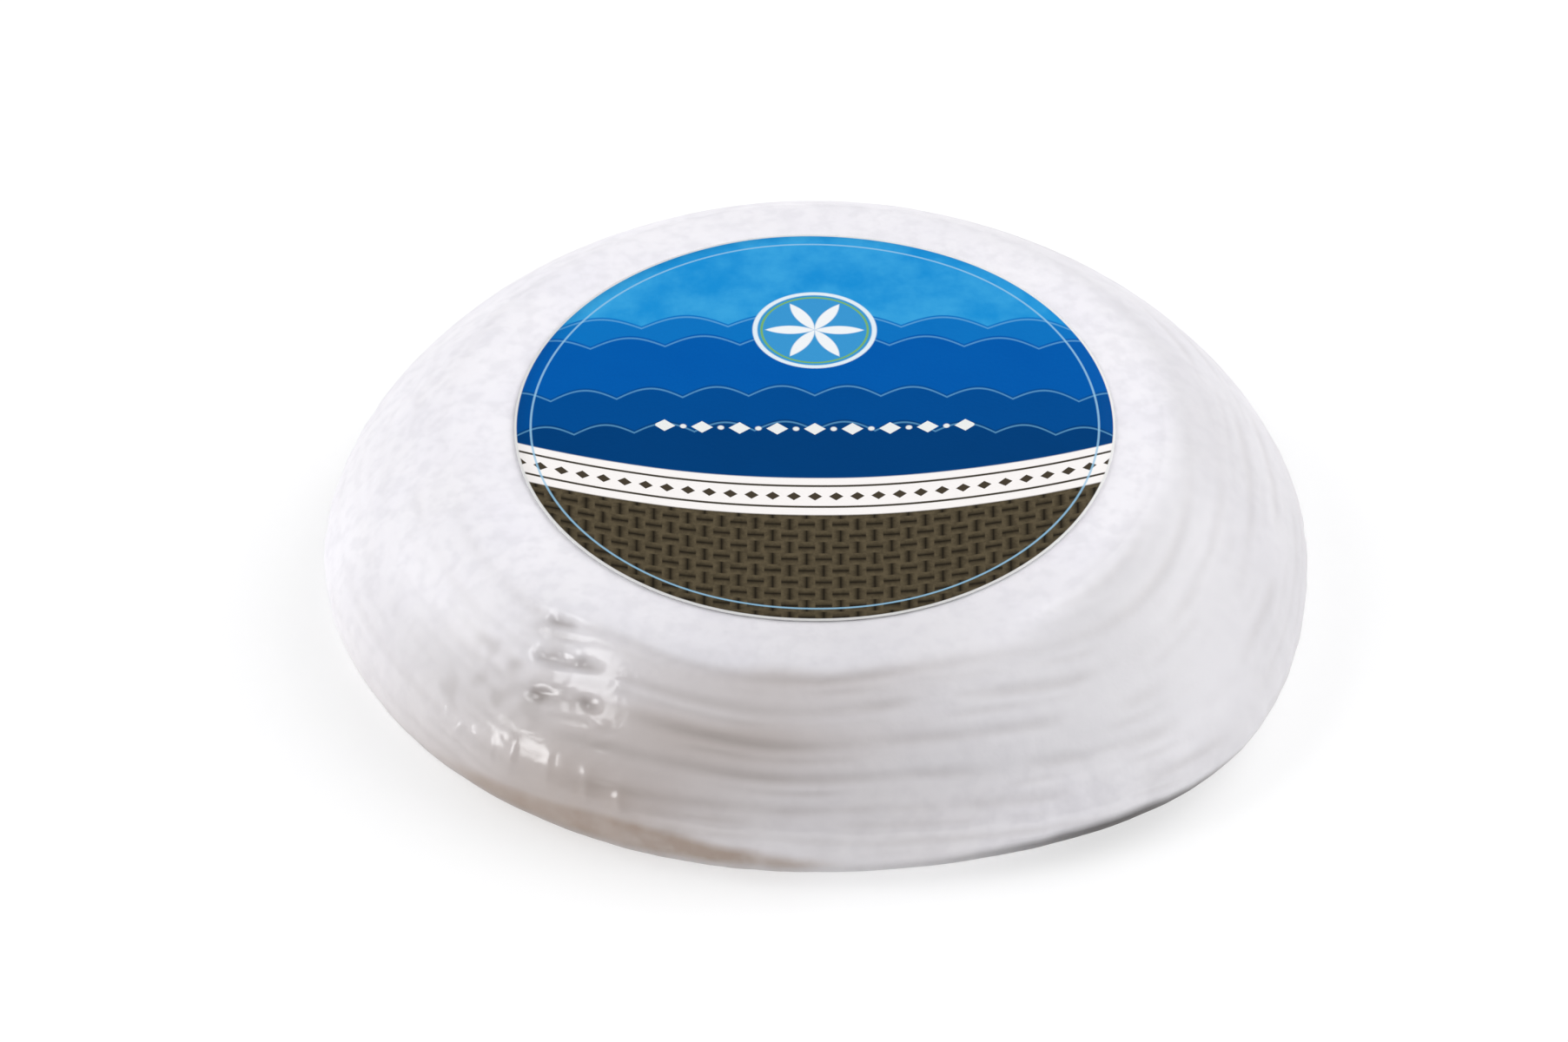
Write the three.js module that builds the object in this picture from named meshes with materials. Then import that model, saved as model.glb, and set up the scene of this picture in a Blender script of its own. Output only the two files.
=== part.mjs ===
// Basket cheese: a low, round soft cheese in tight clear film, with a round paper label on top.
// The flank keeps the level ridges of the coiled basket that the cheese drained in.
// Millimetres, +Z up. The front faces -Y, and the origin is the middle of the flat base.
import * as THREE from "three";
import { mergeVertices } from "three/addons/utils/BufferGeometryUtils.js";

// Driving dimensions of the section
const wheelRadius = 94.6; // at the girth, the widest level
const girthHeight = 10;
const baseRadius = 80.5; // the flat that the cheese rests on
const shoulderRadius = 66.2; // where the top turns down into the flank
const shoulderHeight = 37;
const domeRise = 4.25; // how much higher the top's middle is than a flat top
const flankRoundness = 1.53; // exponents of the two rounded corners, 2 being an ellipse
const footRoundness = 2.64;

// Unevenness of the wheel
const frontTrim = 0.032; // share that the girth is narrower from front to back than from side to side
const topTilt = 0.025; // rise of the top towards the back, per millimetre
const sagDepth = 7; // the low bulge on the right of the front
const sagTurn = THREE.MathUtils.degToRad(47.5); // its middle, measured from the front towards +X
const sagSpread = THREE.MathUtils.degToRad(25.4);
const ridgeWander = 0.55; // how far the ridges stray from level

// Basket ridges, by distance down the flank from the shoulder
const groovePitch = 6.8;
const firstGroove = 5.6;
const grooveDepth = 0.7;
const ringsPerGroove = 4;

// Label
const labelRadius = 57.2;
const labelThickness = 0.4;
const labelGap = 0.3; // clear space between the label and the film

// Fineness
const aroundSteps = 96;
const footSteps = 4;
const labelRings = 4; // rings from the middle of the top out to the label's edge
const leastStep = 0.8; // no ring of the flank comes nearer to the shoulder than this
const arcDivisions = 2000;

const clamp = THREE.MathUtils.clamp;

// A rounded corner of the section, upright at the girth and level at its far end.
class CornerCurve extends THREE.Curve {
  constructor(endRadius, endHeight, roundness) {
    super();
    Object.assign(this, { endRadius, endHeight, roundness });
  }

  getPoint(t, target = new THREE.Vector2()) {
    const angle = (t * Math.PI) / 2;
    const power = 2 / this.roundness;
    const outwards = Math.max(Math.cos(angle), 0) ** power;
    const onwards = Math.sin(angle) ** power;
    return target.set(
      this.endRadius + (wheelRadius - this.endRadius) * outwards,
      girthHeight + (this.endHeight - girthHeight) * onwards,
    );
  }
}

// The flank's points from the girth up to the shoulder, each pressed in where a groove runs.
function flankPoints() {
  const flank = new CornerCurve(shoulderRadius, shoulderHeight, flankRoundness);
  flank.arcLengthDivisions = arcDivisions;
  const length = flank.getLength();
  const step = groovePitch / ringsPerGroove;
  const points = [];
  for (let down = length; down > leastStep; down -= step) {
    const share = 1 - down / length;
    const point = flank.getPointAt(share);
    const along = flank.getTangentAt(share);
    const phase = ((down - firstGroove) / groovePitch) * 2 * Math.PI;
    const ease = THREE.MathUtils.smoothstep(down, 0, firstGroove);
    const press = grooveDepth * ease * (0.5 + 0.5 * Math.cos(phase)) ** 2;
    points.push(new THREE.Vector2(point.x - along.y * press, point.y + along.x * press));
  }
  return points;
}

// The section, from the middle of the base round to the middle of the top.
function wheelSection() {
  const foot = new CornerCurve(baseRadius, 0, footRoundness);
  const points = [new THREE.Vector2(0, 0)];
  for (let i = footSteps; i > 0; i--) {
    points.push(foot.getPoint(i / footSteps));
  }
  points.push(...flankPoints());
  points.push(new THREE.Vector2(shoulderRadius, shoulderHeight));
  points.push(new THREE.Vector2((shoulderRadius + labelRadius) / 2, shoulderHeight));
  for (let i = labelRings; i >= 0; i--) {
    points.push(new THREE.Vector2((labelRadius * i) / labelRings, shoulderHeight));
  }
  return points;
}

// How much of the girth's own unevenness a level takes part in: 1 at the girth, 0 at base and shoulder.
function girthShare(height) {
  if (height < girthHeight) {
    return 1 - ((girthHeight - height) / girthHeight) ** footRoundness;
  }
  const rise = clamp((height - girthHeight) / (shoulderHeight - girthHeight), 0, 1);
  return 1 - rise ** flankRoundness;
}

// The lift that the top's dome and tilt give, on the wheel and under the label alike.
function topLift(radius, y) {
  return domeRise * (1 - (radius / wheelRadius) ** 2) + topTilt * y;
}

// Turns a point of the section into its place on the uneven wheel.
function unevenWheel(point) {
  const { radius, height, turn } = point;
  const share = girthShare(height);
  const inner = height < girthHeight ? baseRadius : shoulderRadius;
  const reach = clamp((radius - inner) / (wheelRadius - inner), 0, 1);
  const sag = sagDepth * Math.exp(-(((turn - sagTurn) / sagSpread) ** 2));
  const trim = wheelRadius * frontTrim * Math.cos(turn) ** 2;
  const grown = radius + sag * share - trim * reach;
  const x = grown * Math.sin(turn);
  const y = -grown * Math.cos(turn);
  const stray = ridgeWander * share * (Math.sin(3 * turn + 0.6) + 0.6 * Math.sin(7 * turn + 2.1));
  const rise = clamp((height - girthHeight) / (shoulderHeight - girthHeight), 0, 1);
  return new THREE.Vector3(x, y, height + stray * rise + topLift(grown, y) * rise);
}

// Spins a section about +Z, then moves every point by a rule.
function spunSolid(section, rule) {
  const lathe = new THREE.LatheGeometry(section, aroundSteps);
  lathe.deleteAttribute("normal");
  lathe.deleteAttribute("uv");
  const spun = mergeVertices(lathe.rotateX(Math.PI / 2), 1e-4);
  const place = spun.getAttribute("position");
  for (let i = 0; i < place.count; i++) {
    const x = place.getX(i);
    const y = place.getY(i);
    const point = { radius: Math.hypot(x, y), height: place.getZ(i), turn: Math.atan2(x, -y) };
    place.setXYZ(i, ...rule(point));
  }
  spun.computeVertexNormals();
  return spun;
}

function makeWheel() {
  const material = new THREE.MeshStandardMaterial({ color: 0xe9e7e6, roughness: 0.6, metalness: 0 });
  const mesh = new THREE.Mesh(spunSolid(wheelSection(), unevenWheel), material);
  mesh.name = "wheel_in_film";
  return mesh;
}

// A thin disc whose two faces follow the top of the wheel.
function makeLabel() {
  const section = [];
  for (let i = 0; i <= labelRings; i++) {
    section.push(new THREE.Vector2((labelRadius * i) / labelRings, labelGap));
  }
  for (let i = labelRings; i >= 0; i--) {
    section.push(new THREE.Vector2((labelRadius * i) / labelRings, labelGap + labelThickness));
  }
  const onTop = ({ radius, height, turn }) => {
    const x = radius * Math.sin(turn);
    const y = -radius * Math.cos(turn);
    return new THREE.Vector3(x, y, shoulderHeight + topLift(radius, y) + height);
  };
  const material = new THREE.MeshStandardMaterial({ color: 0x1c64ab, roughness: 0.55, metalness: 0 });
  const mesh = new THREE.Mesh(spunSolid(section, onTop), material);
  mesh.name = "top_label";
  return mesh;
}

const wheel = makeWheel();
const label = makeLabel();
wheel.geometry.computeBoundingBox();
const middle = wheel.geometry.boundingBox.getCenter(new THREE.Vector3());

const group = new THREE.Group();
group.add(wheel, label);
group.position.set(-middle.x, -middle.y, 0);

export default group;
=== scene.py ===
"""Basket cheese: a low, round soft cheese in tight clear film, with a round paper label on top.

The pieces are made in millimetres round the wheel's own axis, and each mesh is brought to metres and to its
place at the end. The front faces -Y. A place on the wheel is given by its turn, the angle from the front
towards +X, and by down, the distance along the surface from the shoulder: negative on the top, then the
flank, the rounded foot and the base.
"""
import math
import random

import bmesh
import bpy
import numpy as np
from mathutils import Matrix, Vector, noise


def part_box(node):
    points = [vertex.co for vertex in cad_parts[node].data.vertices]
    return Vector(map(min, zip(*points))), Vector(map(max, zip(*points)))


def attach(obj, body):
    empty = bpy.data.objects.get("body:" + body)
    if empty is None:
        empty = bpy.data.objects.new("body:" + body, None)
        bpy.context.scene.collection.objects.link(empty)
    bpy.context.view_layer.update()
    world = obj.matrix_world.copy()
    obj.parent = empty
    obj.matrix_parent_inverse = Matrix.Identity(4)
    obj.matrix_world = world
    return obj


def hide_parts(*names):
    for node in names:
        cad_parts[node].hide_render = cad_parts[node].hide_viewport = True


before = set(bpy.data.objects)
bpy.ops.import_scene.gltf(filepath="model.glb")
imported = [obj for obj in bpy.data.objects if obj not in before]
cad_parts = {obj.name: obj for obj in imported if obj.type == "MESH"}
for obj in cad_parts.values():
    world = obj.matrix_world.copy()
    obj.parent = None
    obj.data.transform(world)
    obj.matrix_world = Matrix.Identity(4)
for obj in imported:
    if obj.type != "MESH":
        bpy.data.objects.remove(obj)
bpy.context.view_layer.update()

# ---- Sizes -------------------------------------------------------------------------------------------------
label_low, label_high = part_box("top_label")
LABEL_RADIUS = 57.2
MM = (label_high.x - label_low.x) / 2 / LABEL_RADIUS  # a millimetre, from the label that the frame holds
AXIS = Vector(((label_low.x + label_high.x) / 2, (label_low.y + label_high.y) / 2, 0))

# The section, as in the frame
WHEEL_RADIUS = 94.6
GIRTH_HEIGHT = 10
BASE_RADIUS = 80.5
SHOULDER_RADIUS = 66.2
SHOULDER_HEIGHT = 37
DOME_RISE = 4.25
FLANK_ROUNDNESS = 1.53
FOOT_ROUNDNESS = 2.64

# The wheel's unevenness, as in the frame
FRONT_TRIM = 0.032
TOP_TILT = 0.025
SAG_DEPTH = 7
SAG_TURN = math.radians(47.5)
SAG_SPREAD = math.radians(25.4)

# The ridges that the basket left
GROOVE_PITCH = 6.8
FIRST_GROOVE = 5.6

# The patch on the front left where the film is drawn tight and creased
PUCKER_TURN = math.radians(-37)
PUCKER_SPREAD = math.radians(7)
CREASE_RADIUS = 84  # turns a crease's angle into millimetres round the flank
CREASE_ROUNDING = 0.08  # how blunt a crease's ridge is, as a share of its half width
GATHERS_ROUND = 21  # fineness of the gathers round the foot
GATHERS_DOWN = 0.035  # and along them, for each millimetre

# Skins, from the outside in
FILM_THICKNESS = 0.05
FILM_INSET = 0.06  # how far the film's outside lies within the frame's solid
RIND_GAP = 0.25
LABEL_GAP = 0.03
LABEL_THICKNESS = 0.22

# Colours of the rind, each part from 0 to 255
MOULD_WHITE = (253, 251, 255)
MOULD_SHADE = (244, 242, 249)
CLOUD_SHADE = (243, 241, 243)
SPECKLE_SHADE = (228, 226, 231)
# Painted shade: of the flank and brow, of the front, and in the grooves
FLANK_SHADE_GREY = (196, 194, 196)
FRONT_SHADE_GREY = (185, 175, 170)
GROOVE_SHADE_BROWN = (148, 139, 134)
# A darker tan for the foot's band, also used as painted warm shade above it
TAN_AND_WARM_SHADE = (160, 141, 127)
# Painted contact shadow under the foot
CONTACT_DARK = (66, 61, 59)

# Colours of the print
SKY_DEEP = (24, 142, 212)
SKY_LIGHT = (58, 164, 222)
ROW_LINE = (120, 190, 230)
ROSETTE_BLUE = (58, 150, 208)
PETAL_WHITE = (240, 244, 246)
RING_WHITE = (226, 238, 245)
RING_GREEN = (120, 176, 108)
GARLAND_WHITE = (236, 238, 236)
PLAIT_DARK = (26, 22, 16)
PLAIT_LIGHT = (92, 82, 63)
RIBBON_CREAM = (250, 246, 243)
RIBBON_LINE = (62, 56, 46)
RIBBON_CHAIN = (70, 62, 50)
INSET_LINE = (150, 198, 228)
PAPER_WHITE = (238, 238, 236)

# Blue rows of the print: where each ends, the width and depth of its scallops, and its ink
PRINT_ROWS = (
    (0.50, 0.29, 0.055, (8, 112, 190)),
    (0.40, 0.25, 0.050, (0, 88, 170)),
    (0.13, 0.22, 0.050, (0, 75, 145)),
    (-0.05, 0.20, 0.045, (0, 61, 119)),
)

# Light: turn, elevation and strength of each soft glow of the world
WORLD_GLOWS = (
    (-90, 18, 2.0),
    (90, 18, 1.42),
    (90, 45, 1.74),
    (135, 25, 0.87),
    (-135, 25, 0.51),
    (-30, 52, 0.55),
)
GLOW_SHARPNESS = 6
FLOOR_GREY = 0.5
FLOOR_GLOW = 0.55
FLOOR_HALF = 4

# Softboxes: turn, elevation and distance, width and height, power, and which way the width runs
SOFTBOXES = {
    "key_softbox": ((132, 42, 2.0), (1.2, 1.2), 3.75, (1, 0, 0)),
    "gleam_softbox": ((-69, 50, 1.2), (0.64, 0.2), 1.5, (-0.24, -0.86, -0.45)),
    "low_softbox": ((-64, 12, 1.3), (0.3, 0.2), 1.3, (1, 0, 0)),
}

# The camera: elevation, distance, lens and the place that it looks at
CAMERA_ELEVATION = 38.8
CAMERA_DISTANCE = 2.85
CAMERA_LENS = 341
CAMERA_AIM = Vector((-0.0061, 0.0079, 0.0098))

# Fineness, in millimetres along the surface and in steps round it
TOP_STEP = 1.7
FLANK_STEP = 0.45
FOOT_STEP = 0.9
BASE_RINGS = 9
CORNER_SAMPLES = 3000
FILM_COARSENESS = 1.45
CHEESE_AROUND = 440
FILM_AROUND = 400
LABEL_AROUND = 220
LABEL_RINGS = 16
CROWDING = 0.62  # how strongly the steps crowd towards the creased front left
CROWD_TURN = math.radians(-25)


# ---- The wheel's form --------------------------------------------------------------------------------------
def held(value, most=1.0):
    """The value, kept between 0 and most."""
    return min(max(value, 0.0), most)


def ease(low, high, value):
    """0 below low, 1 above high, and a soft rise between."""
    share = held((value - low) / (high - low))
    return share * share * (3 - 2 * share)


def bell(value, middle, spread, power=2):
    """1 at middle, falling away evenly on both sides; a higher power gives it a flatter top."""
    return math.exp(-(((value - middle) / spread) ** power))


def corner(end_radius, end_height, roundness, step):
    """A rounded corner's points, from its level end to the girth, as (radius, height, distance along)."""
    angles = np.linspace(math.pi / 2, 0, CORNER_SAMPLES)
    power = 2 / roundness
    radii = end_radius + (WHEEL_RADIUS - end_radius) * np.cos(angles).clip(0) ** power
    heights = GIRTH_HEIGHT + (end_height - GIRTH_HEIGHT) * np.sin(angles) ** power
    way = np.concatenate([[0], np.cumsum(np.hypot(np.diff(radii), np.diff(heights)))])
    even = np.linspace(0, way[-1], round(way[-1] / step) + 1)
    return list(zip(np.interp(even, way, radii), np.interp(even, way, heights), even))


def wheel_section(coarse=1.0):
    """The section from the middle of the top round to the middle of the base, as (radius, height, down)."""
    flank = corner(SHOULDER_RADIUS, SHOULDER_HEIGHT, FLANK_ROUNDNESS, FLANK_STEP * coarse)
    foot = corner(BASE_RADIUS, 0, FOOT_ROUNDNESS, FOOT_STEP * coarse)[::-1]
    flank_length = flank[-1][2]
    foot_length = foot[0][2]
    top_rings = round(SHOULDER_RADIUS / TOP_STEP / coarse)
    points = []
    for i in range(top_rings):
        radius = SHOULDER_RADIUS * i / top_rings
        points.append((radius, SHOULDER_HEIGHT, radius - SHOULDER_RADIUS))
    points += flank
    for radius, height, from_base in foot[1:]:
        points.append((radius, height, flank_length + foot_length - from_base))
    for i in range(1, BASE_RINGS + 1):
        radius = BASE_RADIUS * (1 - i / BASE_RINGS)
        points.append((radius, 0, flank_length + foot_length + BASE_RADIUS - radius))
    return points


FLANK_LENGTH = corner(SHOULDER_RADIUS, SHOULDER_HEIGHT, FLANK_ROUNDNESS, 1)[-1][2]
FOOT_END = FLANK_LENGTH + corner(BASE_RADIUS, 0, FOOT_ROUNDNESS, 1)[-1][2]


def on_wheel(radius, height, turn):
    """The place of a section's point on the uneven wheel."""
    if height < GIRTH_HEIGHT:
        share = 1 - ((GIRTH_HEIGHT - height) / GIRTH_HEIGHT) ** FOOT_ROUNDNESS
        inner = BASE_RADIUS
    else:
        share = 1 - held((height - GIRTH_HEIGHT) / (SHOULDER_HEIGHT - GIRTH_HEIGHT)) ** FLANK_ROUNDNESS
        inner = SHOULDER_RADIUS
    reach = held((radius - inner) / (WHEEL_RADIUS - inner))
    sag = SAG_DEPTH * bell(turn, SAG_TURN, SAG_SPREAD)
    trim = WHEEL_RADIUS * FRONT_TRIM * math.cos(turn) ** 2
    grown = radius + sag * share - trim * reach
    x = grown * math.sin(turn)
    y = -grown * math.cos(turn)
    lift = DOME_RISE * (1 - (grown / WHEEL_RADIUS) ** 2) + TOP_TILT * y
    rise = held((height - GIRTH_HEIGHT) / (SHOULDER_HEIGHT - GIRTH_HEIGHT))
    return Vector((x, y, height + lift * rise))


# ---- Relief ------------------------------------------------------------------------------------------------
def lumps(spot, size, seed):
    """Soft noise of about -1 to 1, with lumps of that many millimetres."""
    return noise.noise(spot / size + Vector((17.3 * seed, 5.1 * seed, -9.7 * seed)))


def puckered(turn, down):
    """Where the film is drawn tight over the ridges low on the front left, from 0 to 1."""
    aside = turn - PUCKER_TURN - 0.006 * (down - 15)
    return bell(aside, 0, PUCKER_SPREAD, power=4) * ease(3, 7, down) * (1 - ease(23, 28, down))


def groove(turn, down, spot):
    """How deep the basket pressed the rind in here, from 0 to 1: level lines, rubbed away in places."""
    reach = ease(0.5, 5, down) * (1 - ease(FLANK_LENGTH - 2, FLANK_LENGTH + 5, down))
    if reach == 0:
        return 0.0
    # The lines wander, dip on the right and slant on the creased patch
    stray = 0.45 * math.sin(3 * turn + 0.6) + 1.3 * lumps(spot, 28, seed=1) - 4.2 * bell(turn, 0.87, 0.4)
    aside = turn - PUCKER_TURN
    stray += (14 * aside - 0.15 * (down - 12)) * bell(aside, 0, 0.17)
    phase = (down - FIRST_GROOVE + stray) / GROOVE_PITCH * 2 * math.pi

    # They are strongest at the front, and each of these is rubbed away in patches
    front = 0.3 + 0.15 * math.sin(turn) + 0.55 * bell(turn, 0, 0.8)
    front -= 0.45 * ease(0, 0.35, turn) * (1 - ease(8, 11, down))
    front -= 0.25 * bell(turn, 0.2, 0.25) * ease(16, 20, down)
    along = Vector((spot.x / 15, spot.y / 15, down / 7))
    patch = lumps(along, 1, seed=2)
    kept = front * held(0.45 + 1.7 * patch)
    hard = bell(turn, -0.2, 0.3) * (1 - ease(27, 37, down)) * held(0.85 + 0.6 * patch)
    brim = 0.65 * bell(turn, 1.05, 0.38) * (1 - ease(13, 17, down))
    drawn = puckered(turn, down) * held(0.75 + 1.1 * lumps(spot, 4, seed=12))
    main = (0.5 + 0.5 * math.cos(phase)) ** 3 * max(kept, drawn, hard, brim)
    fine = (0.5 + 0.5 * math.cos(2 * phase + 0.8)) ** 2 * held(0.1 + 1.2 * lumps(along, 1, seed=8), most=0.5)
    return max(main, fine * front) * reach


class Fold:
    """A straight crease of the film, raised like a low tent."""

    def __init__(self, turn, down, length, width, height, slant):
        self.turn = math.radians(turn)
        self.down = down
        self.half_length = length / 2
        self.half_width = width / 2
        self.height = height
        self.cos = math.cos(math.radians(slant))
        self.sin = math.sin(math.radians(slant))

    def raised(self, turn, down):
        """How high the crease stands here."""
        across = (turn - self.turn) * CREASE_RADIUS
        below = down - self.down
        along = across * self.cos + below * self.sin
        if abs(along) > self.half_length:
            return 0.0
        aside = below * self.cos - across * self.sin
        tent = 1 + CREASE_ROUNDING - math.hypot(aside / self.half_width, CREASE_ROUNDING)
        if tent <= 0:
            return 0.0
        return self.height * tent * (1 - (along / self.half_length) ** 2)


def make_folds():
    """The film's creases: a stack of short level ones, upright pleats below it, and faint long level ones."""
    dice = random.Random(11)
    folds = []
    for _ in range(22):
        folds.append(Fold(
            turn=dice.uniform(-49, -28),
            down=dice.uniform(5, 25),
            length=dice.uniform(4, 8),
            width=dice.uniform(1.3, 2.2),
            height=dice.uniform(0.15, 0.4),
            slant=dice.uniform(-30, 6),
        ))
    turn = -53
    while turn < -39:
        folds.append(Fold(
            turn=turn,
            down=36 + dice.uniform(-1.5, 1.5),
            length=dice.uniform(7, 11),
            width=dice.uniform(2.2, 3.2),
            height=dice.uniform(0.3, 0.5),
            slant=dice.uniform(70, 95),
        ))
        turn += dice.uniform(2.2, 3.2)
    for turn, height in ((-34, 0.2), (-28.5, 0.22), (-24, 0.2)):
        folds.append(Fold(turn, down=35, length=11, width=2.6, height=height, slant=dice.uniform(60, 90)))
    for _ in range(16):
        folds.append(Fold(
            turn=dice.uniform(-25, 42),
            down=dice.uniform(6, 36),
            length=dice.uniform(16, 34),
            width=dice.uniform(1.2, 2.0),
            height=dice.uniform(0.08, 0.18),
            slant=dice.uniform(-3, 3),
        ))
    return folds


FOLDS = make_folds()


def folded(turn, down):
    """How high the film's creases stand here."""
    if not (-1.25 < turn < 1.1 and 0 < down < FOOT_END):
        return 0.0
    fade = 1 - ease(FLANK_LENGTH + 2, FOOT_END - 4, down)
    return fade * max(fold.raised(turn, down) for fold in FOLDS)


def gathers(turn, down):
    """Fine upright gathers round the whole foot and on over the base, from -1 to 1."""
    reach = ease(26, 42, down) * (1 - ease(FOOT_END + 8, FOOT_END + 48, down))
    if reach == 0:
        return 0.0
    round_spot = Vector((
        math.sin(turn) * GATHERS_ROUND, -math.cos(turn) * GATHERS_ROUND, down * GATHERS_DOWN,
    ))
    return reach * noise.noise(round_spot)


def film_lift(turn, down, spot):
    """How far the film's outside stands off the plain form, in millimetres."""
    uneven = -0.3 + 0.3 * lumps(spot, 34, seed=3)
    pressed = (0.25 + 0.55 * puckered(turn, down)) * groove(turn, down, spot)
    gathered = 0.35 * (gathers(turn, down) - 0.6 * ease(26, 42, down)) * (1 - 0.7 * ease(41, 46, down))
    free = uneven - FILM_INSET - pressed + 0.8 * folded(turn, down) + gathered
    resting = ease(FLANK_LENGTH + 10, FOOT_END, down)
    return (1 - resting) * free - resting * max(0.6 * gathers(turn, down), 0.0)


def rind_lift(turn, down, spot):
    """How far the rind stands off the plain form, always under the film."""
    pressed = 0.25 * groove(turn, down, spot)
    mould = 0.05 * lumps(spot, 4.5, seed=4) + 0.035 * lumps(spot, 1.8, seed=5)
    slack = 0.4 * folded(turn, down)
    return film_lift(turn, down, spot) - FILM_THICKNESS - RIND_GAP - pressed - slack + mould


# ---- Meshes ------------------------------------------------------------------------------------------------
def spun_shell(section, steps, lift, lowest=0.0):
    """A closed shell: the section spun round the axis, set on the uneven wheel and lifted off it."""
    shell = bmesh.new()
    down_of = shell.verts.layers.float.new("down")
    turn_of = shell.verts.layers.float.new("turn")
    chain = []
    for radius, height, down in section:
        vert = shell.verts.new((0, -radius, height))
        vert[down_of] = down
        chain.append(vert)
    for above, below in zip(chain, chain[1:]):
        shell.edges.new((above, below))
    bmesh.ops.spin(
        shell, geom=shell.verts[:] + shell.edges[:], cent=(0, 0, 0), axis=(0, 0, 1), dvec=(0, 0, 0),
        angle=2 * math.pi, steps=steps, use_merge=True, use_normal_flip=False, use_duplicate=False,
    )
    bmesh.ops.remove_doubles(shell, verts=shell.verts[:], dist=1e-3)
    for vert in shell.verts:
        turn = math.atan2(vert.co.x, -vert.co.y)
        turn -= CROWDING * math.sin(turn - CROWD_TURN)
        vert[turn_of] = turn = math.remainder(turn, 2 * math.pi)
        vert.co = on_wheel(vert.co.xy.length, vert.co.z, turn)
    bmesh.ops.recalc_face_normals(shell, faces=shell.faces[:])
    shell.normal_update()
    moves = [vert.normal * lift(vert[turn_of], vert[down_of], vert.co) for vert in shell.verts]
    for vert, move in zip(shell.verts, moves):
        vert.co += move
        vert.co.z = max(vert.co.z, lowest)
    return shell


def finished(shell, name, material):
    """Brings a shell to metres and to its place, and makes it a smooth piece."""
    bmesh.ops.scale(shell, vec=(MM, MM, MM), verts=shell.verts[:])
    bmesh.ops.translate(shell, vec=AXIS, verts=shell.verts[:])
    mesh = bpy.data.meshes.new(name)
    shell.to_mesh(mesh)
    shell.free()
    mesh.polygons.foreach_set("use_smooth", [True] * len(mesh.polygons))
    mesh.materials.append(material)
    piece = bpy.data.objects.new(name, mesh)
    bpy.context.scene.collection.objects.link(piece)
    return piece


# ---- Painted shade and marks on the rind -------------------------------------------------------------------
def on_base(down):
    """0 on the foot and 1 on the base's middle, where the marks fade."""
    return ease(FOOT_END - 2, FOOT_END + 22, down)


def painted_groove_shade(turn, down, spot):
    """Painted shade in the grooves, and painted dark blotches and flecks of shade where the film lies
    creased.
    """
    blotch = bell(turn, -0.755, 0.13, power=4) * ease(3, 7, down) * (1 - ease(17, 24, down))
    blotch *= held(0.35 + 1.5 * lumps(spot, 6, seed=9))
    flecks = bell(turn, -0.785, 0.16, power=4) * ease(13, 18, down) * (1 - ease(30, 35, down))
    flecks *= held(2.2 * lumps(spot, 4, seed=15))
    crease_shade = 0.75 * blotch + 0.85 * flecks
    return groove(turn, down, spot) * (1 + 0.6 * puckered(turn, down)) + crease_shade


def tan_band_and_shade(turn, down, spot):
    """A darker tan band along the front left of the foot, and above it a faint warm tint that is painted
    shade on the lower flank.
    """
    front_left = ease(-0.95, -0.66, turn) * (1 - ease(-0.12, 0.1, turn))
    start = FLANK_LENGTH + 0.5 - 4.2 * bell(turn, -0.46, 0.27)
    band = ease(start, start + 3.5, down + 1.2 * lumps(spot, 22, seed=6)) * (1 - 0.55 * ease(45, 47.5, down))
    tint = 0.4 * ease(24, 36, down) * bell(turn, -0.45, 0.22)
    tint += 0.1 * ease(24, 34, down) * bell(turn, 0.2, 0.25)
    return max(band * (0.05 + 0.95 * front_left), tint) * (1 - on_base(down))


def painted_contact_shadow(turn, down):
    """Painted contact shadow: the dark line where the foot meets the table, strongest on the front right."""
    dark_right = bell(turn, 0.63, 0.33)
    brink = FLANK_LENGTH + 3 - 3 * dark_right
    return ease(brink, brink + 3, down) * (1 - ease(49, 56, down)) * (0.2 + 0.8 * dark_right)


def painted_front_shade(turn, down, spot):
    """Painted shade: the warm grey-brown shaded front, which slants to the left as it goes down."""
    aside = turn - math.radians(-9 - 0.65 * (down - 10))
    spread = math.radians(25 + 0.15 * down if aside < 0 else 22)
    ragged = down + 1.8 * lumps(spot, 15, seed=7)
    onset = 0.6 * ease(2.3, 7, ragged) + 0.4 * ease(13.5, 18, ragged)
    onset *= 1 - 0.35 * ease(20, 34, down) * bell(turn, -0.1, 0.4)
    return bell(aside, 0, spread) * onset * (1 - on_base(down))


def painted_flank_shade(turn, down):
    """Painted shade: the flank made an even light grey, deepest on the front right, and the brow of the top
    above the front darkened.
    """
    right = ease(0.45, 1.0, turn)
    onset = ease(2 - 5 * right, 9 - 3 * right, down)
    shading = 0.28 + 0.34 * math.cos(turn - math.radians(60)) + 0.12 * bell(turn, 0.87, 0.3)
    shading += 0.2 * ease(24, 38, down) * bell(turn, 1.5, 0.4)
    shading += 0.4 * ease(18, 26, down) * (1 - 0.75 * ease(29, 35, down)) * bell(turn, -0.9, 0.3)
    shading -= 0.35 * ease(25, 36, down) * bell(turn, 0.5, 0.4)
    brow_shade = 0.43 * bell(turn, 0.05, 0.65) * ease(-17, -5, down) * (1 - onset)
    return (max(onset * shading, 0.0) + brow_shade) * (1 - 0.7 * on_base(down))


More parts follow.
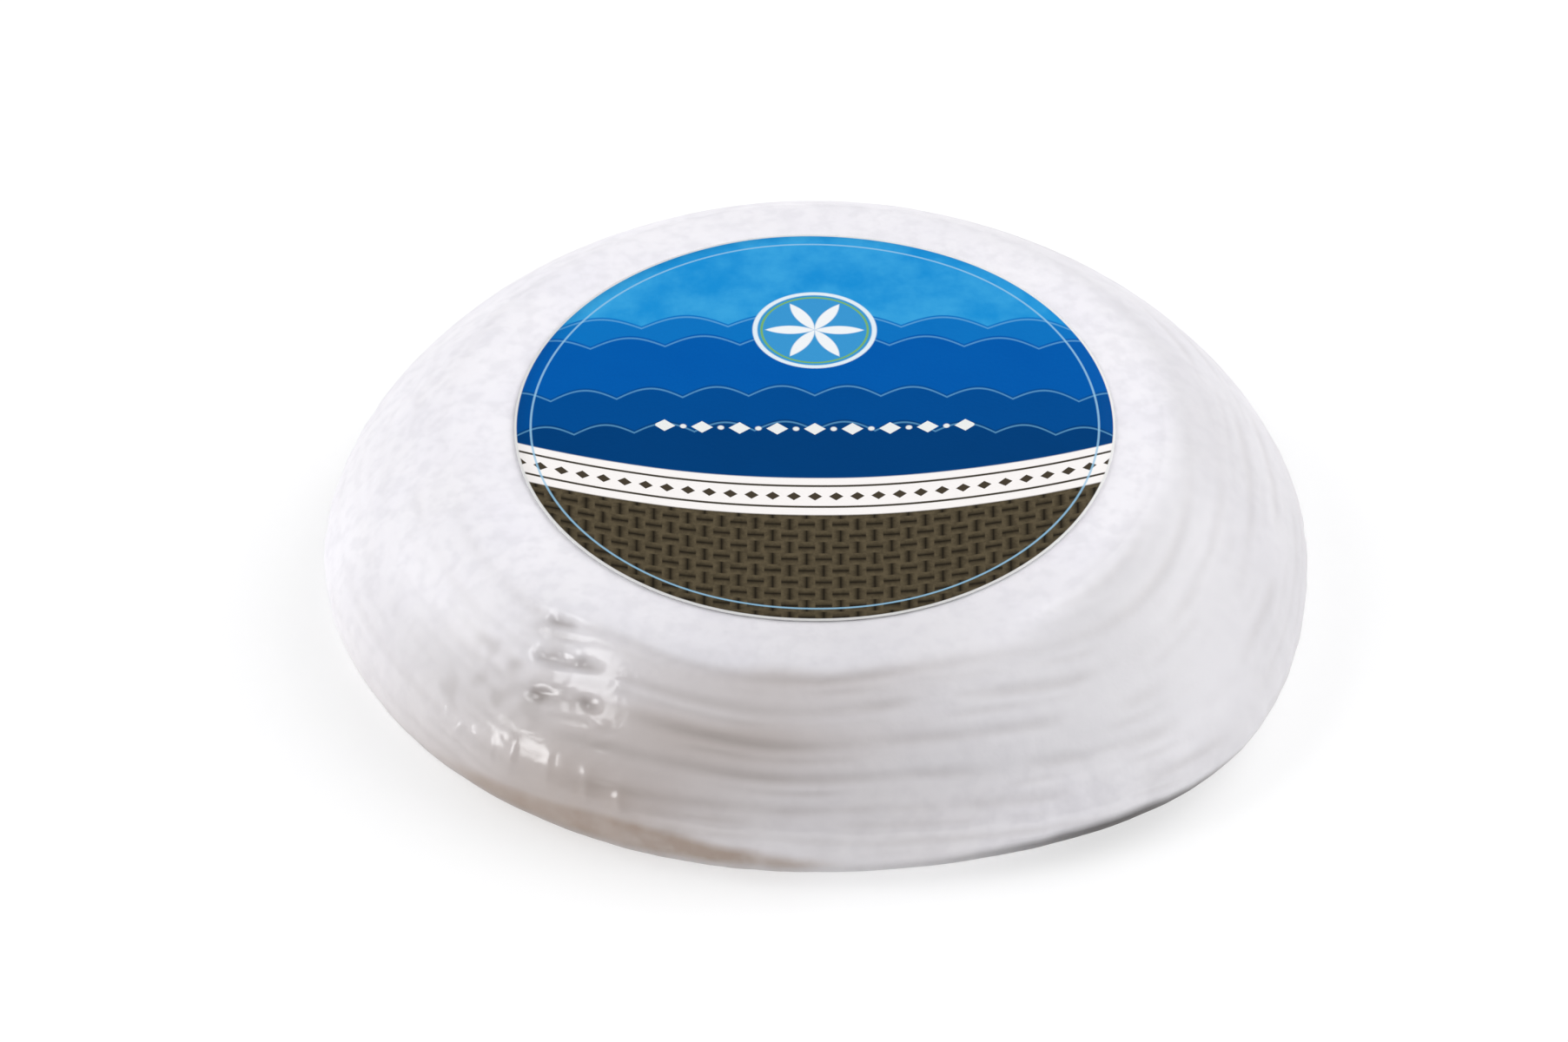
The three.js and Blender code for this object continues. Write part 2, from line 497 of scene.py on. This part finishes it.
# ---- Pieces ------------------------------------------------------------------------------------------------
def make_cheese(material):
    """The cheese itself, with its rind's ridges, and the masks of painted shade and of the tan band that the
    material reads.
    """
    shell = spun_shell(wheel_section(), CHEESE_AROUND, rind_lift, lowest=FILM_THICKNESS + RIND_GAP)
    down_of = shell.verts.layers.float["down"]
    turn_of = shell.verts.layers.float["turn"]
    # Masks of painted shade in the grooves, on the front, on the flank and at the foot's contact, and of the
    # foot's tan band
    groove_shade_of = shell.verts.layers.float.new("groove")
    tan_and_shade_of = shell.verts.layers.float.new("tan_and_shade")
    front_shade_of = shell.verts.layers.float.new("painted_front_shade")
    flank_shade_of = shell.verts.layers.float.new("painted_flank_shade")
    contact_shadow_of = shell.verts.layers.float.new("painted_contact_shadow")
    for vert in shell.verts:
        turn = vert[turn_of]
        down = vert[down_of]
        vert[groove_shade_of] = painted_groove_shade(turn, down, vert.co)
        vert[tan_and_shade_of] = tan_band_and_shade(turn, down, vert.co)
        vert[contact_shadow_of] = painted_contact_shadow(turn, down)
        vert[front_shade_of] = painted_front_shade(turn, down, vert.co)
        vert[flank_shade_of] = painted_flank_shade(turn, down)
    return finished(shell, "cheese_wheel", material)


def make_film(material):
    """The clear film, with its creases low on the front left, as a thin wall."""
    shell = spun_shell(wheel_section(coarse=FILM_COARSENESS), FILM_AROUND, film_lift)
    bmesh.ops.solidify(shell, geom=shell.faces[:], thickness=FILM_THICKNESS)
    return finished(shell, "clear_film", material)


def make_label(material):
    """The round paper label, lying on the film."""
    below = SHOULDER_HEIGHT + LABEL_GAP
    above = below + LABEL_THICKNESS
    radii = [LABEL_RADIUS * i / LABEL_RINGS for i in range(LABEL_RINGS + 1)]
    section = [(radius, above, radius - SHOULDER_RADIUS) for radius in radii]
    section += [(radius, below, radius - SHOULDER_RADIUS) for radius in radii[::-1]]

    def lift(turn, down, spot):
        return 0.0

    shell = spun_shell(section, LABEL_AROUND, lift)
    down_of = shell.verts.layers.float["down"]
    turn_of = shell.verts.layers.float["turn"]
    for vert in shell.verts:
        under = on_wheel(vert.co.xy.length, SHOULDER_HEIGHT, vert[turn_of])
        vert.co.z += film_lift(vert[turn_of], vert[down_of], under)
    return finished(shell, "label", material)


# ---- Materials ---------------------------------------------------------------------------------------------
def linear(colour):
    """A colour given as it looks, each part from 0 to 255, as the shader takes it."""
    parts = [part / 255 for part in colour]
    return tuple(((part + 0.055) / 1.055) ** 2.4 if part > 0.04 else part / 12.92 for part in parts)


def new_material(name):
    """A material with its node tree and its shader."""
    material = bpy.data.materials.new(name)
    material.use_nodes = True
    shader = material.node_tree.nodes["Principled BSDF"]
    return material, material.node_tree, shader


class Field:
    """A number that varies over a surface, so that shader arithmetic reads like plain sums."""

    def __init__(self, tree, source):
        self.tree = tree
        self.source = source

    def math(self, operation, *others):
        node = self.tree.nodes.new("ShaderNodeMath")
        node.operation = operation
        for socket, value in zip(node.inputs, (self, *others)):
            if isinstance(value, Field):
                self.tree.links.new(value.source, socket)
            else:
                socket.default_value = value
        return Field(self.tree, node.outputs[0])

    def __add__(self, other):
        return self.math("ADD", other)

    def __sub__(self, other):
        return self.math("SUBTRACT", other)

    def __mul__(self, other):
        return self.math("MULTIPLY", other)

    def __truediv__(self, other):
        return self.math("DIVIDE", other)

    def __pow__(self, other):
        return self.math("POWER", other)

    def __abs__(self):
        return self.math("ABSOLUTE")

    def sine(self):
        return self.math("SINE")

    def clamped(self):
        return self.math("MAXIMUM", 0).math("MINIMUM", 1)

    def above(self, edge, blur=0.004):
        """1 where the field is over edge, 0 where it is under, and a soft change between."""
        node = self.tree.nodes.new("ShaderNodeMapRange")
        node.interpolation_type = "SMOOTHSTEP"
        node.inputs["From Min"].default_value = edge - blur
        node.inputs["From Max"].default_value = edge + blur
        self.tree.links.new(self.source, node.inputs["Value"])
        return Field(self.tree, node.outputs["Result"])

    def below(self, edge, blur=0.004):
        return (self * -1).above(-edge, blur)


def object_place(tree, middle=(0, 0, 0), scale=1.0):
    """The object's own coordinates, measured from middle."""
    where = tree.nodes.new("ShaderNodeTexCoord")
    mapping = tree.nodes.new("ShaderNodeMapping")
    mapping.inputs["Scale"].default_value = (scale, scale, scale)
    mapping.inputs["Location"].default_value = [-scale * part for part in middle]
    tree.links.new(where.outputs["Object"], mapping.inputs["Vector"])
    return mapping.outputs["Vector"]


def noise_field(tree, place, scale, detail=3, roughness=0.5, distortion=0.0):
    """Soft noise of about 0 to 1."""
    node = tree.nodes.new("ShaderNodeTexNoise")
    node.inputs["Scale"].default_value = scale
    node.inputs["Detail"].default_value = detail
    node.inputs["Roughness"].default_value = roughness
    node.inputs["Distortion"].default_value = distortion
    tree.links.new(place, node.inputs["Vector"])
    return Field(tree, node.outputs["Fac"])


def mixed(tree, share, first, second):
    """first where share is 0 and second where it is 1; each is a colour or a colour's socket."""
    node = tree.nodes.new("ShaderNodeMix")
    node.data_type = "RGBA"
    tree.links.new(share.source, node.inputs["Factor"])
    for socket, value in ((node.inputs[6], first), (node.inputs[7], second)):
        if isinstance(value, tuple):
            socket.default_value = (*value, 1)
        else:
            tree.links.new(value, socket)
    return node.outputs[2]


def attribute(tree, name):
    """What the cheese's mesh tells of itself under that name."""
    node = tree.nodes.new("ShaderNodeAttribute")
    node.attribute_name = name
    return Field(tree, node.outputs["Fac"])


def add_bump(tree, shader, height, distance):
    """Gives the shader's surface a fine relief, of that distance in metres."""
    node = tree.nodes.new("ShaderNodeBump")
    node.inputs["Distance"].default_value = distance
    node.inputs["Strength"].default_value = 1
    tree.links.new(height.source, node.inputs["Height"])
    tree.links.new(node.outputs["Normal"], shader.inputs["Normal"])


def make_rind():
    """White mould: matt and downy, with a faint cool mottle, a darker tan band at the foot, and painted shade
    on the flank, the front, in the grooves and as a contact shadow at the foot.
    """
    material, tree, shader = new_material("rind")
    place = object_place(tree)
    mottle = noise_field(tree, place, 75, detail=4, roughness=0.6)
    cloud = noise_field(tree, place, 22, detail=2)
    speckle = noise_field(tree, place, 300, detail=3, roughness=0.6)
    colour = mixed(tree, mottle.above(0.5, 0.16) * 0.5, linear(MOULD_WHITE), linear(MOULD_SHADE))
    colour = mixed(tree, cloud.above(0.55, 0.14) * 0.35, colour, linear(CLOUD_SHADE))
    colour = mixed(tree, speckle.above(0.54, 0.12) * 0.3, colour, linear(SPECKLE_SHADE))
    # Painted shade on the flank and on the top's brow above the front
    colour = mixed(tree, attribute(tree, "painted_flank_shade"), colour, linear(FLANK_SHADE_GREY))
    # Painted shade on the front, broken up by the cloud
    front_shade = (attribute(tree, "painted_front_shade") * (cloud * 0.6 + 0.7)).clamped()
    colour = mixed(tree, front_shade, colour, linear(FRONT_SHADE_GREY))
    # Painted shade in the grooves and creases, deeper on the shaded front; its mask is stored under the name
    # groove
    colour = mixed(tree, attribute(tree, "groove") * (front_shade * 0.25 + 0.3), colour, linear(GROOVE_SHADE_BROWN))
    # The darker tan band at the foot, and painted warm shade on the lower flank above it
    tan_and_shade = attribute(tree, "tan_and_shade") * (noise_field(tree, place, 160, detail=3) * 1.1 + 0.35)
    colour = mixed(tree, tan_and_shade.clamped(), colour, linear(TAN_AND_WARM_SHADE))
    # Painted contact shadow where the foot meets the table
    colour = mixed(tree, attribute(tree, "painted_contact_shadow"), colour, linear(CONTACT_DARK))
    tree.links.new(colour, shader.inputs["Base Color"])
    shader.inputs["Roughness"].default_value = 0.78
    shader.inputs["Specular IOR Level"].default_value = 0.25
    shader.inputs["Sheen Weight"].default_value = 0.12
    shader.inputs["Sheen Roughness"].default_value = 0.6
    down_hair = noise_field(tree, place, 1400, detail=3, roughness=0.65)
    pimples = noise_field(tree, place, 420, detail=2)
    add_bump(tree, shader, down_hair * 0.4 + pimples, 0.00006)
    return material


def make_clear():
    """Thin clear film: it lets nearly all light through and returns a little of it like a faint mirror."""
    material, tree, shader = new_material("clear_film")
    place = object_place(tree)
    shader.inputs["Base Color"].default_value = (0.97, 0.975, 0.98, 1)
    shader.inputs["Metallic"].default_value = 1
    shader.inputs["Alpha"].default_value = 0.03
    ripple = noise_field(tree, place, 260, detail=2, distortion=0.6)
    wear = noise_field(tree, place, 60, detail=2)
    tree.links.new((wear * 0.1 + 0.1).source, shader.inputs["Roughness"])
    add_bump(tree, shader, ripple, 0.00008)
    return material


def make_print():
    """The label's paper and its print: scalloped blue rows, a rosette, a garland, a ribbon and a plait."""
    material, tree, shader = new_material("label_paper")
    middle = (AXIS.x, AXIS.y, 0)
    place = object_place(tree, middle, 1 / (LABEL_RADIUS * MM))
    split = tree.nodes.new("ShaderNodeSeparateXYZ")
    tree.links.new(place, split.inputs[0])
    u = Field(tree, split.outputs["X"])
    v = Field(tree, split.outputs["Y"])
    rim = (u * u + v * v) ** 0.5
    cloud = noise_field(tree, place, 5, detail=4, roughness=0.6)
    grain = noise_field(tree, place, 46, detail=3, roughness=0.7)

    # Blue rows, each ending in scallops against the row above
    colour = mixed(tree, cloud.above(0.5, 0.2), linear(SKY_DEEP), linear(SKY_LIGHT))
    for base, width, depth, ink in PRINT_ROWS:
        arch = abs((u * (math.pi / width)).sine()) * depth
        over = arch + base - v
        colour = mixed(tree, over.above(0, 0.004) * (cloud * 0.2 + 0.85).clamped(), colour, linear(ink))
        line = abs(over - 0.012).below(0.004, 0.003)
        colour = mixed(tree, line * 0.45, colour, linear(ROW_LINE))

    # The rosette: six petals in a ring
    ring_radius = 0.20
    up = v - 0.47
    reach = (u * u + up * up) ** 0.5
    colour = mixed(tree, reach.below(ring_radius), colour, linear(ROSETTE_BLUE))
    angle = up.math("ARCTAN2", u)
    sector = angle + math.radians(30)
    folded_angle = sector.math("FLOORED_MODULO", math.radians(60)) - math.radians(30)
    petal_u = reach * folded_angle.math("COSINE")
    petal_v = abs(reach * folded_angle.sine())
    petal_radius = 0.165
    aside = petal_v + petal_radius * math.sin(math.radians(60))
    along = petal_u - petal_radius / 2
    petal = ((along * along + aside * aside) ** 0.5).below(petal_radius, 0.003)
    colour = mixed(tree, petal, colour, linear(PETAL_WHITE))
    colour = mixed(tree, abs(reach - ring_radius).below(0.008, 0.003), colour, linear(RING_WHITE))
    colour = mixed(tree, abs(reach - ring_radius + 0.022).below(0.004, 0.002), colour, linear(RING_GREEN))

    # The garland: lozenges and dots in a shallow arc
    garland = v + 0.055 - (u * u) * 0.12
    pitch = 0.125
    cell = (u + pitch / 2).math("FLOORED_MODULO", pitch) - pitch / 2
    lozenge = (abs(cell) / 0.036 + abs(garland) / 0.03).below(1, 0.06)
    between = u.math("FLOORED_MODULO", pitch) - pitch / 2
    dot = ((between * between + garland * garland) ** 0.5).below(0.0105, 0.003)
    within = abs(u).below(0.53, 0.002)
    colour = mixed(tree, lozenge.math("MAXIMUM", dot) * within, colour, linear(GARLAND_WHITE))

    # The plait under the ribbon: rods over and under each other
    sweep = v + 0.40 - (u * u) * 0.22
    cell_size = 0.056
    rod_angle = sweep * (math.pi / cell_size)
    stake_angle = u * (math.pi / cell_size)
    over = (rod_angle.sine() * stake_angle.sine()).above(0, 0.12)
    rod_shade = abs(rod_angle.math("COSINE"))
    stake_shade = abs(stake_angle.math("COSINE"))
    shade = over * rod_shade + (over * -1 + 1) * stake_shade
    shade = (shade ** 0.8 * (grain * 1.3 + 0.25)).clamped()
    plait = mixed(tree, shade, linear(PLAIT_DARK), linear(PLAIT_LIGHT))
    colour = mixed(tree, sweep.below(-0.03), colour, plait)

    # The ribbon, with two fine lines and a chain of small lozenges
    colour = mixed(tree, abs(sweep).below(0.092), colour, linear(RIBBON_CREAM))
    for side in (-1, 1):
        colour = mixed(tree, abs(sweep - side * 0.052).below(0.005, 0.002), colour, linear(RIBBON_LINE))
    chain_pitch = 0.07
    link = (u + chain_pitch / 2).math("FLOORED_MODULO", chain_pitch) - chain_pitch / 2
    small = (abs(link) / 0.024 + abs(sweep) / 0.02).below(1, 0.08)
    colour = mixed(tree, small, colour, linear(RIBBON_CHAIN))

    # An inset line all round, and the bare paper edge
    colour = mixed(tree, abs(rim - 0.945).below(0.0035, 0.002) * 0.8, colour, linear(INSET_LINE))
    colour = mixed(tree, rim.above(0.992, 0.002), colour, linear(PAPER_WHITE))
    tree.links.new(colour, shader.inputs["Base Color"])
    shader.inputs["Roughness"].default_value = 0.55
    shader.inputs["Specular IOR Level"].default_value = 0.02
    add_bump(tree, shader, noise_field(tree, place, 60, detail=3), 0.00006)
    return material


def make_floor():
    """The pale table, which glows a little so that it stays near white."""
    material, tree, shader = new_material("floor")
    shader.inputs["Base Color"].default_value = (FLOOR_GREY, FLOOR_GREY, FLOOR_GREY, 1)
    shader.inputs["Roughness"].default_value = 0.9
    shader.inputs["Specular IOR Level"].default_value = 0
    shader.inputs["Emission Color"].default_value = (1, 1, 1, 1)
    shader.inputs["Emission Strength"].default_value = FLOOR_GLOW
    mesh = bpy.data.meshes.new("floor")
    shell = bmesh.new()
    bmesh.ops.create_grid(shell, x_segments=1, y_segments=1, size=FLOOR_HALF)
    shell.to_mesh(mesh)
    shell.free()
    mesh.materials.append(material)
    floor = bpy.data.objects.new("floor", mesh)
    bpy.context.scene.collection.objects.link(floor)


# ---- Light and camera --------------------------------------------------------------------------------------
def toward(turn, elevation, distance=1.0):
    """The place at that turn from the front, that elevation and that distance."""
    turn = math.radians(turn)
    elevation = math.radians(elevation)
    level = distance * math.cos(elevation)
    return Vector((level * math.sin(turn), -level * math.cos(turn), distance * math.sin(elevation)))


def add_softbox(name, place, size, power, along):
    """A rectangular soft light that faces the wheel, its first side along the given direction."""
    lamp = bpy.data.lights.new(name, "AREA")
    lamp.shape = "RECTANGLE"
    lamp.size, lamp.size_y = size
    lamp.energy = power
    holder = bpy.data.objects.new(name, lamp)
    back = toward(*place[:2])
    side = (Vector(along) - back * back.dot(Vector(along))).normalized()
    turned = Matrix((side, back.cross(side), back)).transposed()
    holder.matrix_world = Matrix.Translation(toward(*place)) @ turned.to_4x4()
    bpy.context.scene.collection.objects.link(holder)


def make_light():
    """A pale studio: soft glows in the world, a key softbox and two small ones for the film's gleams."""
    world = bpy.data.worlds.new("studio")
    bpy.context.scene.world = world
    world.use_nodes = True
    tree = world.node_tree
    where = tree.nodes.new("ShaderNodeTexCoord")
    total = None
    for turn, elevation, strength in WORLD_GLOWS:
        facing = tree.nodes.new("ShaderNodeVectorMath")
        facing.operation = "DOT_PRODUCT"
        facing.inputs[1].default_value = toward(turn, elevation)
        tree.links.new(where.outputs["Generated"], facing.inputs[0])
        glow = Field(tree, facing.outputs["Value"]).math("MAXIMUM", 0) ** GLOW_SHARPNESS * strength
        total = glow if total is None else total + glow
    background = tree.nodes["Background"]
    background.inputs["Color"].default_value = (0.985, 0.985, 1, 1)
    tree.links.new(total.source, background.inputs["Strength"])
    for name, softbox in SOFTBOXES.items():
        add_softbox(name, *softbox)


def make_camera():
    """A long lens that looks down on the front."""
    eye = bpy.data.cameras.new("camera")
    eye.lens = CAMERA_LENS
    eye.clip_end = 20
    camera = bpy.data.objects.new("camera", eye)
    camera.location = CAMERA_AIM + toward(0, CAMERA_ELEVATION, CAMERA_DISTANCE)
    camera.rotation_euler = (math.radians(90 - CAMERA_ELEVATION), 0, 0)
    bpy.context.scene.collection.objects.link(camera)
    bpy.context.scene.camera = camera
    bpy.context.scene.view_settings.view_transform = "Standard"


# ---- The whole ---------------------------------------------------------------------------------------------
cheese = make_cheese(make_rind())
film = make_film(make_clear())
label = make_label(make_print())
for piece, slot in ((cheese, "rind"), (film, "film"), (label, "label_paper")):
    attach(piece, "root")
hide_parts("wheel_in_film")
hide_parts("wheel_in_film")
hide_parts("top_label")

make_floor()
make_light()
make_camera()
